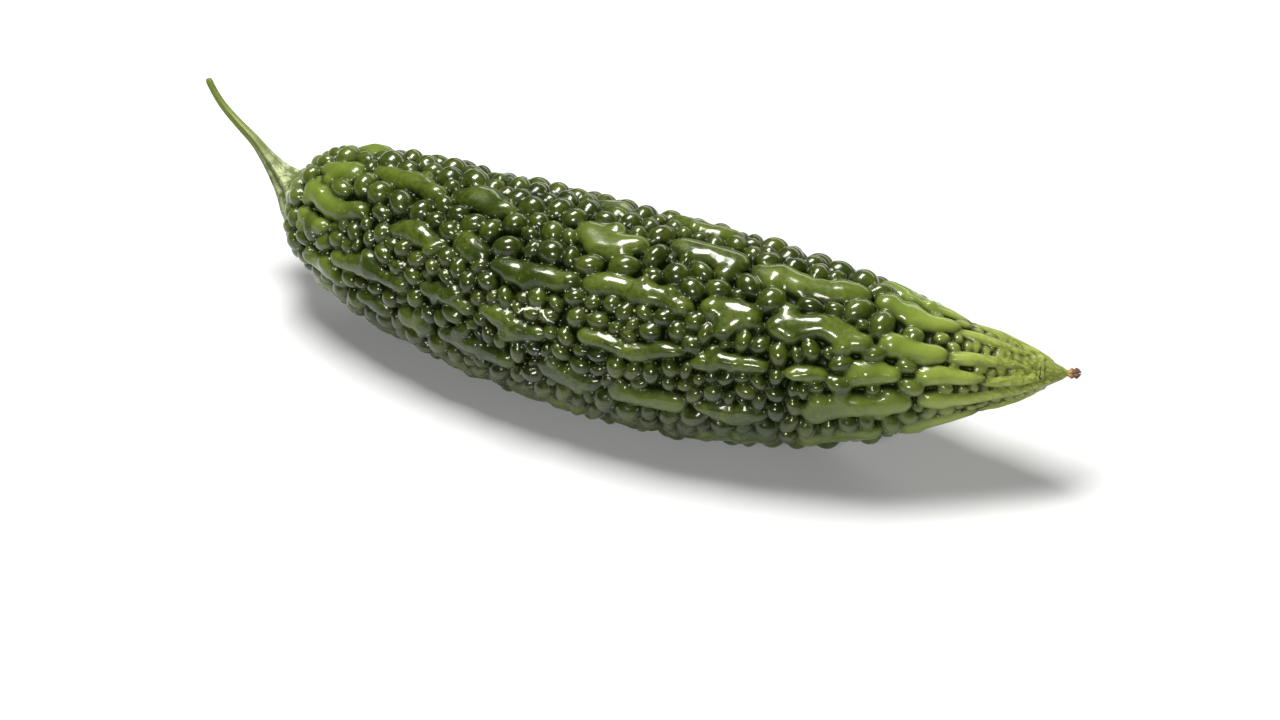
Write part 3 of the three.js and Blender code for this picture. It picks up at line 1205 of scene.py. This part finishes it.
    def _wrinkles(self, pen: NodePen, place: object, along: object) -> object:
        """The fine net of wrinkles that runs lengthwise over the tip.

        Args:
            pen: the pen on the material's nodes.
            place: the place on the piece.
            along: the distance from the stem end.

        Returns:
            How far into a wrinkle each place is, from 0 to 1.
        """
        waver = pen.noise(place, 260.0, 2.0).outputs["Color"]
        bent = pen.vector("MULTIPLY_ADD", waver, (0.003, 0.003, 0.003), place)
        drawn = pen.vector("MULTIPLY", bent, (0.2, 1.0, 1.0))
        edges = {"feature": "DISTANCE_TO_EDGE"}
        net = pen.add("ShaderNodeTexVoronoi", edges, Vector=drawn, Scale=self.wrinkle_scale)
        return pen.times(pen.ramp(net.outputs["Distance"], 0.2, 0.0), pen.ramp(along, *self.wrinkles_from))

    def _peel(self, pen: NodePen, place: object, along: object, angle: object) -> object:
        """The thin whitish line where the skin has peeled, bowed over the belly.

        Args:
            pen: the pen on the material's nodes.
            place: the place on the piece.
            along: the distance from the stem end.
            angle: the angle round the fruit.

        Returns:
            Where the line is, from 0 to 1.
        """
        from_middle = pen.less(along, self.peel_middle)
        waver = pen.noise(place, 700.0, 3.0, 0.7).outputs[0]
        bow = pen.times(from_middle, from_middle, 0.19)
        line = pen.plus(angle, bow, pen.times(waver, 5.0))
        ends = pen.ramp(pen.math("ABSOLUTE", from_middle), 5.6, 4.6)
        return pen.times(pen.ramp(pen.apart(line, self.peel_angle), 0.75, 0.4), ends)

    def _split(self, pen: NodePen, place: object, along: object, angle: object) -> object:
        """The short dry split across the skin near the tip.

        Args:
            pen: the pen on the material's nodes.
            place: the place on the piece.
            along: the distance from the stem end.
            angle: the angle round the fruit.

        Returns:
            Where the split is, from 0 to 1.
        """
        waver = pen.noise(place, 900.0, 2.0).outputs[0]
        line = pen.plus(along, pen.times(waver, 2.4))
        beside = pen.apart(angle, self.split_angle)
        on_line = pen.ramp(pen.apart(line, self.split_middle), 0.36, 0.14)
        return pen.times(on_line, pen.ramp(beside, 32.0, 18.0))


@dataclass(frozen=True)
class StemFinish(Finish):
    """The stem: olive green and smooth at its cut end, pale and streaked where it spreads."""

    effects: SharedEffects
    name: str = "streaked_green_stem"
    shaft: Colour = (0.092, 0.124, 0.016)
    spread: Colour = (0.32, 0.37, 0.19)
    streak: Colour = (0.04, 0.055, 0.016)
    scar: Colour = (0.26, 0.22, 0.1)
    blot_scale: float = 430.0

    def build(self) -> bpy.types.Material:
        """Builds the material."""
        material, pen, place = self.start()
        reach, groove, cut = pen.share("reach"), pen.share("groove"), pen.share("cut")
        mottle = pen.effect(self.effects.mottle, place, Patch_Scale=160.0)
        streaks = pen.times(groove, pen.ramp(reach, 0.75, 0.3, 0.25, 0.95))
        streaks = pen.times(streaks, pen.ramp(mottle, 0.1, 0.7, 0.45, 1.0))
        blots = pen.ramp(pen.noise(place, self.blot_scale, 4.0, 0.7).outputs[0], 0.46, 0.54)
        body = pen.blend(pen.ramp(reach, 0.62, 0.1), self.shaft, self.spread)
        for cover, colour in (
            (streaks, self.streak),
            (pen.times(blots, pen.ramp(reach, 0.6, 0.25, 0.0, 0.85)), self.streak),
            (pen.times(mottle, 0.25), self.shaft),
            (cut, self.scar),
        ):
            body = pen.blend(cover, body, colour)
        pores = pen.effect(self.effects.pores, place, Pore_Scale=3600.0)
        bump = pen.add("ShaderNodeBump", Strength=0.4, Distance=0.0004, Height=pores)
        roughness = pen.plus(pen.times(mottle, 0.15), 0.42)
        self.close(pen, body, roughness, bump.outputs[0], Specular_IOR_Level=0.4)
        return material


@dataclass(frozen=True)
class PetalFinish(Finish):
    """The dried remains of the flower: brown, with a pinkish foot."""

    effects: SharedEffects
    name: str = "dried_brown_petals"
    foot: Colour = (0.36, 0.2, 0.07)
    dry: Colour = (0.07, 0.03, 0.015)
    pale: Colour = (0.33, 0.17, 0.1)

    def build(self) -> bpy.types.Material:
        """Builds the material."""
        material, pen, place = self.start()
        mottle = pen.effect(self.effects.mottle, place, Patch_Scale=600.0, Fleck_Scale=2400.0)
        body = pen.blend(pen.ramp(pen.share("reach"), 0.1, 0.65), self.foot, self.dry)
        body = pen.blend(pen.times(mottle, 0.5), body, self.pale)
        pores = pen.effect(self.effects.pores, place, Pore_Scale=5200.0, Swell_Scale=1500.0)
        bump = pen.add("ShaderNodeBump", Strength=0.6, Distance=0.0004, Height=pores)
        self.close(pen, body, pen.plus(pen.times(mottle, 0.2), 0.65), bump.outputs[0])
        return material


@dataclass
class Fruit:
    """The fruit, one skin over its beads and bars."""

    line: FruitLine
    finish: SkinFinish
    voxel: float = 0.42
    most_triangles: int = 194_000
    round_faces: int = 2
    swell: float = 1.03
    core_rings: int = 220
    core_sides: int = 96

    def build(self) -> bpy.types.Object:
        """Builds and dresses the fruit.

        Returns:
            The piece.
        """
        material = self.finish.build()
        forms = WartPlan(self.line).lay()
        rough = self._run_together(self._core(), forms, material)
        surface = SkinField(self.line, forms)
        set_places(rough, surface.settle(places_of(rough), rounds=4))
        rough = self._thinned(rough)
        places = surface.settle(places_of(rough), rounds=2)
        places[:, 2] = np.maximum(places[:, 2], 0.0)
        set_places(rough, places)
        self._store_shares(rough, surface, places)
        rough.data.materials.clear()
        rough.data.materials.append(material)
        rough.data.shade_smooth()
        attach(rough, BodyName.ROOT.value)
        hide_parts("fruit")
        return rough

    def _core(self) -> bpy.types.Object:
        """The skin between the warts, closed at both ends."""
        shoulder = np.linspace(0, 0.05, 14, endpoint=False)
        share = np.concatenate([shoulder, np.linspace(0.05, 1, self.core_rings)])
        angle = np.linspace(0, 360, self.core_sides, endpoint=False)
        grid_share, grid_angle = np.meshgrid(share, angle, indexing="ij")
        _, side, over = self.line.directions(grid_share)
        turn = np.radians(grid_angle)[..., None]
        radius = self.line.core_radius(grid_share)[..., None]
        rings = self.line.centre(grid_share) + radius * (side * np.cos(turn) + over * np.sin(turn))
        places = np.vstack([rings.reshape(-1, 3), self.line.centre([0.0, 1.0])])
        return mesh_object("core", places, tube_faces(len(share), self.core_sides, poles=True))

    def _run_together(
        self, core: bpy.types.Object, forms: list[RoundForm], material: bpy.types.Material
    ) -> bpy.types.Object:
        """Puts a round at each form's place, and draws one skin over them all.

        Args:
            core: the skin between the warts.
            forms: the raised forms.
            material: the finish.

        Returns:
            The one skin, in fine even faces.
        """
        centres, axes, sizes = stacked(forms)
        spots = mesh_object("wart_spots", centres, [])
        turns = np.array([Matrix(axis.T.tolist()).to_euler() for axis in axes])
        for name, rows in (("wart_size", sizes * METRE), ("wart_turn", turns)):
            layer = spots.data.attributes.new(name, "FLOAT_VECTOR", "POINT")
            layer.data.foreach_set("vector", rows.astype(np.float32).ravel())
        tree, sockets = wart_tree()
        warts = spots.modifiers.new("warts", "NODES")
        warts.node_group = tree
        warts[sockets["Core"]] = core
        warts[sockets["Roundness"]] = self.round_faces
        warts[sockets["Swell"]] = self.swell
        warts[sockets["Finish"]] = material
        remesh = spots.modifiers.new("one_skin", "REMESH")
        remesh.mode = "VOXEL"
        remesh.voxel_size = self.voxel * METRE
        skin = applied(spots, "one_skin")
        bpy.data.objects.remove(core)
        LOG.info("one skin with %d faces", len(skin.data.polygons))
        return skin

    def _thinned(self, skin: bpy.types.Object) -> bpy.types.Object:
        """Thins a skin to the most triangles that it may have.

        Args:
            skin: the fine skin.

        Returns:
            The thinned skin, under the fruit's own name.
        """
        fine = sum(len(face.vertices) - 2 for face in skin.data.polygons)
        thin = skin.modifiers.new("thin", "DECIMATE")
        thin.ratio = min(1.0, self.most_triangles / fine)
        return applied(skin, "gourd_fruit")

    def _store_shares(self, piece: bpy.types.Object, surface: SkinField, places: Array) -> None:
        """Stores what the finish reads, and lays the map.

        Args:
            piece: the piece.
            surface: the fruit's exact surface.
            places: the piece's corners.
        """
        read = surface.at(places)
        share, angle, radius, _ = self.line.locate(places)
        lift = (radius - self.line.core_radius(share)) / (self.line.wart_share(share) * self.line.relief)
        for name, values in (
            ("ridge", read["ridge"]),
            ("crease", read["crease"]),
            ("shade", read["shade"]),
            ("along", share * self.line.length),
            ("lift", np.clip(lift, 0, 1.2)),
            ("angle", angle),
        ):
            set_share(piece, name, values)
        cap = np.clip(radius / self.line.outer_radius(np.zeros(1)), 0, 1)
        length = np.where(share < 0.004, 0.03 * cap, 0.03 + 0.97 * np.clip(share, 0, 1))
        set_bake_map(piece, np.mod(angle + 90.0, 360.0) / 360.0, length)


def tube_faces(rings: int, sides: int, poles: bool = False) -> list[tuple[int, ...]]:
    """The faces of a tube whose rings come one after another.

    Args:
        rings: how many rings.
        sides: how many corners in a ring.
        poles: whether two more corners, the start's and then the end's, close the tube.

    Returns:
        The corners of each face. They face outwards where the rings turn from the side to over it.
    """
    faces: list[tuple[int, ...]] = []
    for ring in range(rings - 1):
        for side in range(sides):
            a, b = ring * sides + side, ring * sides + (side + 1) % sides
            faces.append((a, b, b + sides, a + sides))
    if poles:
        start, end, last = rings * sides, rings * sides + 1, (rings - 1) * sides
        for side in range(sides):
            following = (side + 1) % sides
            faces.append((start, following, side))
            faces.append((end, last + side, last + following))
    return faces


def wart_tree() -> tuple[bpy.types.NodeTree, dict[str, str]]:
    """The nodes that put a round on each wart's spot and join them with the core.

    Returns:
        The tree, and each named input's identifier.
    """
    tree = bpy.data.node_groups.new("Wart Field", "GeometryNodeTree")
    pen = NodePen(tree)
    face = tree.interface
    face.new_socket("Geometry", in_out="INPUT", socket_type="NodeSocketGeometry")
    sockets = {
        name: face.new_socket(name, in_out="INPUT", socket_type=kind).identifier
        for name, kind in (
            ("Core", "NodeSocketObject"),
            ("Roundness", "NodeSocketInt"),
            ("Swell", "NodeSocketFloat"),
            ("Finish", "NodeSocketMaterial"),
        )
    }
    face.new_socket("Geometry", in_out="OUTPUT", socket_type="NodeSocketGeometry")
    source = pen.add("NodeGroupInput")
    given = {socket.name: socket for socket in source.outputs}
    ball = pen.add("GeometryNodeMeshIcoSphere", Radius=1.0, Subdivisions=given["Roundness"])
    size = pen.add("GeometryNodeInputNamedAttribute", {"data_type": "FLOAT_VECTOR"}, Name="wart_size")
    turn = pen.add("GeometryNodeInputNamedAttribute", {"data_type": "FLOAT_VECTOR"}, Name="wart_turn")
    swollen = pen.add("ShaderNodeVectorMath", {"operation": "SCALE"}, n0=size.outputs["Attribute"],
                      Scale=given["Swell"])
    rotation = pen.add("FunctionNodeEulerToRotation", Euler=turn.outputs["Attribute"])
    balls = pen.add("GeometryNodeInstanceOnPoints", Points=given["Geometry"], Instance=ball.outputs["Mesh"],
                    Rotation=rotation.outputs[0], Scale=swollen.outputs[0])
    core = pen.add("GeometryNodeObjectInfo", Object=given["Core"])
    joined = pen.add("GeometryNodeJoinGeometry")
    tree.links.new(balls.outputs[0], joined.inputs[0])
    tree.links.new(core.outputs["Geometry"], joined.inputs[0])
    solid = pen.add("GeometryNodeRealizeInstances", Geometry=joined.outputs[0])
    dressed = pen.add("GeometryNodeSetMaterial", Geometry=solid.outputs[0], Material=given["Finish"])
    pen.add("NodeGroupOutput", n0=dressed.outputs[0])
    return tree, sockets


@dataclass
class Stem:
    """The stem: it spreads onto the shoulder in ribs and bends up to its cut end."""

    line: FruitLine
    finish: StemFinish
    course: tuple[tuple[float, float], ...] = (
        (-4.0, -2.0),
        (1.0, -1.7),
        (7.4, 1.1),
        (13.3, 5.2),
        (18.2, 8.9),
        (24.8, 12.3),
        (30.2, 15.6),
        (33.7, 19.1),
        (36.2, 23.0),
    )
    radii: tuple[tuple[float, float], ...] = (
        (0.0, 11.0),
        (0.05, 9.2),
        (0.1, 7.5),
        (0.16, 5.6),
        (0.23, 4.1),
        (0.31, 2.95),
        (0.4, 2.15),
        (0.5, 1.65),
        (0.62, 1.42),
        (0.75, 1.22),
        (0.9, 1.05),
        (0.975, 1.02),
        (0.992, 0.9),
        (1.0, 0.6),
    )
    rings: int = 110
    sides: int = 60
    ribs: tuple[tuple[float, float, float], ...] = ((5, 0.09, 0.4), (9, 0.05, 2.1), (16, 0.035, 4.0))
    twist: float = 0.5

    def build(self) -> bpy.types.Object:
        """Builds and dresses the stem.

        Returns:
            The piece.
        """
        share = np.linspace(0, 1, self.rings)
        middle, heading = self._path(share)
        side = unit(np.cross(heading, np.array([0.0, 0.0, 1.0])))
        over = np.cross(side, heading)
        profile = smooth_path(self.radii)
        radius = np.interp(share, profile[:, 0], profile[:, 1])
        turn = np.linspace(0, 2 * math.pi, self.sides, endpoint=False)
        grid_share, grid_turn = np.meshgrid(share, turn, indexing="ij")
        ribbed = sum(
            depth * np.cos(count * (grid_turn + self.twist * grid_share) + phase)
            for count, depth, phase in self.ribs
        )
        strength = 0.35 + 0.9 * smooth_rise(0.75 - grid_share, 0, 0.5)
        reach = radius[:, None] * (1 + ribbed * strength)
        rings = (
            middle[:, None]
            + reach[..., None] * np.cos(grid_turn)[..., None] * side[:, None]
            + reach[..., None] * np.sin(grid_turn)[..., None] * over[:, None]
        )
        end = middle[-1] + heading[-1] * 0.16
        rim = middle[-1] + 0.6 * (rings[-1] - middle[-1]) + heading[-1] * 0.13
        start = middle[0] - heading[0] * 0.5
        places = np.vstack([rings.reshape(-1, 3), rim, start[None], end[None]])
        piece = mesh_object("gourd_stem", places, tube_faces(self.rings + 1, self.sides, poles=True))
        levels = np.concatenate([grid_share.ravel(), np.ones(self.sides), [0.0, 1.0]])
        groove = np.clip(0.5 - ribbed.ravel() / 0.16, 0, 1)
        cut = (levels >= 1.0).astype(float)
        cut[: self.rings * self.sides] = 0.0
        set_share(piece, "reach", levels)
        set_share(piece, "groove", np.concatenate([groove, np.zeros(self.sides + 2)]))
        set_share(piece, "cut", cut)
        turns = np.concatenate([grid_turn.ravel(), turn, [0.0, 0.0]]) / (2 * math.pi)
        lengths = np.concatenate([0.02 + 0.94 * grid_share.ravel(), np.full(self.sides, 0.98), [0.0, 1.0]])
        set_bake_map(piece, turns, lengths)
        piece.data.materials.append(self.finish.build())
        piece.data.shade_smooth()
        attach(piece, BodyName.ROOT.value)
        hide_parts("stem")
        return piece

    def _path(self, share: Array) -> tuple[Array, Array]:
        """The stem's middle line.

        Args:
            share: shares of its length.

        Returns:
            Its places, and where it is heading at each.
        """
        out = -self.line.directions(0.0)[0]
        course = smooth_path(self.course, steps=40)
        travelled = np.concatenate([[0.0], np.cumsum(np.linalg.norm(np.diff(course, axis=0), axis=1))])
        travelled /= travelled[-1]
        away, up = (np.interp(share, travelled, course[:, axis])[:, None] for axis in (0, 1))
        places = self.line.centre(0.0) + away * out + up * np.array([0.0, 0.0, 1.0])
        return places, unit(np.gradient(places, axis=0))


@dataclass
class DriedFlower:
    """The shrivelled remains of the flower on the tip."""

    line: FruitLine
    finish: PetalFinish
    length: float = 2.7
    radius: float = 1.25
    sunk: float = 0.5
    profile: tuple[float, ...] = (0.62, 0.7, 0.85, 1.0, 0.92, 0.74, 0.8, 0.95, 0.82, 0.4)
    sides: int = 48
    rings: int = 46
    seed: int = 5

    def build(self) -> bpy.types.Object:
        """Builds and dresses the dried flower.

        Returns:
            The piece.
        """
        rng = np.random.default_rng(self.seed)
        along, side, over = self.line.directions(1.0)
        share = np.linspace(0, 1, self.rings)
        path = smooth_path([(i / (len(self.profile) - 1), r) for i, r in enumerate(self.profile)])
        radius = self.radius * np.interp(share, path[:, 0], path[:, 1])
        turn = np.linspace(0, 2 * math.pi, self.sides, endpoint=False)
        grid_share, grid_turn = np.meshgrid(share, turn, indexing="ij")
        crumple = sum(
            rng.uniform(0.06, 0.15)
            * np.cos(count * grid_turn + rng.uniform(0, 6) + rng.uniform(-4, 4) * grid_share)
            for count in (3, 5, 7, 11, 14)
        )
        reach = radius[:, None] * (1 + crumple * (0.4 + 1.2 * grid_share))
        shift = (0.4 * np.sin(grid_turn * 5 + 1.0) + 0.25 * np.sin(grid_turn * 8 + 2.0)) * self.radius
        shift *= smooth_rise(grid_share, 0.5, 1.0)
        foot = self.line.centre(1.0) - along * self.sunk
        rings = (
            foot
            + (grid_share * (self.length + self.sunk) + shift)[..., None] * along
            + (reach * np.cos(grid_turn))[..., None] * side
            + (reach * np.sin(grid_turn))[..., None] * over
        )
        end = foot + along * (self.length * 0.72)
        places = np.vstack([rings.reshape(-1, 3), foot[None], end[None]])
        piece = mesh_object("dried_flower_tip", places, tube_faces(self.rings, self.sides, poles=True))
        set_share(piece, "reach", np.concatenate([grid_share.ravel(), [0.0, 1.0]]))
        turns = np.concatenate([grid_turn.ravel(), [0.0, 0.0]]) / (2 * math.pi)
        set_bake_map(piece, turns, np.concatenate([0.03 + 0.92 * grid_share.ravel(), [0.0, 1.0]]))
        piece.data.materials.append(self.finish.build())
        piece.data.shade_smooth()
        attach(piece, BodyName.ROOT.value)
        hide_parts("dried_flower")
        return piece


@dataclass(frozen=True)
class Lamp:
    """A soft lamp: where it hangs from what it faces, its width and height, and its power in watts."""

    name: str
    offset: tuple[float, float, float]
    size: tuple[float, float]
    watts: float


@dataclass
class Studio:
    """The pale floor, the soft lights and the camera."""

    line: FruitLine
    yaw: float = 23.04
    elevation: float = 38.0
    distance: float = 886.0
    lens: float = 85.0
    target: tuple[float, float] = (109.6, -0.4)
    lamps: tuple[Lamp, ...] = (
        Lamp("overhead", (-110, 40, 630), (360, 190), 8.6),
        Lamp("front", (200, -640, 430), (190, 130), 4.1),
        Lamp("back_edge", (80, 620, 330), (900, 140), 1.6),
    )
    lamp_colour: Colour = (1.0, 0.985, 0.88)
    floor_colour: Colour = (0.545, 0.553, 0.61)
    floor_half_width: float = 4000.0
    surrounding_light: float = 0.05

    def build(self) -> None:
        """Builds the stage, the lights and the camera."""
        self._floor()
        self._surroundings()
        for lamp in self.lamps:
            self._hang(lamp)
        self._camera()

    def _aim(self) -> Vector:
        """What the camera and the lamps look at, in metres: a spot under the line between the ends."""
        beyond_stem, height = self.target
        return Vector((self.line.stem_end[0] + beyond_stem, self.line.stem_end[1], height)) * METRE

    def _floor(self) -> None:
        """A wide pale floor, a little bluish, so that it looks neutral under the warm lamps."""
        corners = np.array([(-1, -1, 0), (1, -1, 0), (1, 1, 0), (-1, 1, 0)], float) * self.floor_half_width
        floor = mesh_object("floor", corners, [(0, 1, 2, 3)])
        material = bpy.data.materials.new("pale_floor")
        material.use_nodes = True
        shader = material.node_tree.nodes["Principled BSDF"]
        shader.inputs["Base Color"].default_value = (*self.floor_colour, 1.0)
        shader.inputs["Roughness"].default_value = 0.9
        floor.data.materials.append(material)

    def _surroundings(self) -> None:
        """Even white light from all round."""
        world = bpy.data.worlds.new("white_surroundings")
        world.use_nodes = True
        world.node_tree.nodes["Background"].inputs["Color"].default_value = (1.0, 1.0, 1.0, 1.0)
        world.node_tree.nodes["Background"].inputs["Strength"].default_value = self.surrounding_light
        bpy.context.scene.world = world
        bpy.context.scene.view_settings.view_transform = "Standard"

    def _hang(self, lamp: Lamp) -> None:
        """Hangs a lamp so that it faces the gourd."""
        data = bpy.data.lights.new(lamp.name, "AREA")
        data.shape = "RECTANGLE"
        data.size, data.size_y = lamp.size[0] * METRE, lamp.size[1] * METRE
        data.energy = lamp.watts
        data.color = self.lamp_colour
        hung = bpy.data.objects.new(lamp.name, data)
        hung.location = self._aim() + Vector(lamp.offset) * METRE
        hung.rotation_euler = (self._aim() - hung.location).to_track_quat("-Z", "Y").to_euler()
        bpy.context.scene.collection.objects.link(hung)

    def _camera(self) -> None:
        """Sets up the camera."""
        yaw, elevation = math.radians(self.yaw), math.radians(self.elevation)
        away = Vector((
            math.sin(yaw) * math.cos(elevation),
            -math.cos(yaw) * math.cos(elevation),
            math.sin(elevation),
        ))
        data = bpy.data.cameras.new("camera")
        data.lens = self.lens
        data.sensor_width = 36.0
        data.clip_start, data.clip_end = 0.01, 50.0
        camera = bpy.data.objects.new("camera", data)
        camera.location = self._aim() + away * self.distance * METRE
        camera.rotation_euler = (-away).to_track_quat("-Z", "Y").to_euler()
        bpy.context.scene.collection.objects.link(camera)
        bpy.context.scene.camera = camera


def main() -> None:
    """Builds each piece, and then the studio round them."""
    logging.basicConfig(level=logging.INFO, format="%(name)s: %(message)s")
    effects = SharedEffects()
    line = FruitLine.of_packed_fruit()
    for part in (
        Fruit(line, SkinFinish(effects)),
        Stem(line, StemFinish(effects)),
        DriedFlower(line, PetalFinish(effects)),
    ):
        piece = part.build()
        LOG.info("%s: %d faces", piece.name, len(piece.data.polygons))
    Studio(line).build()


if __name__ == "__main__":
    main()
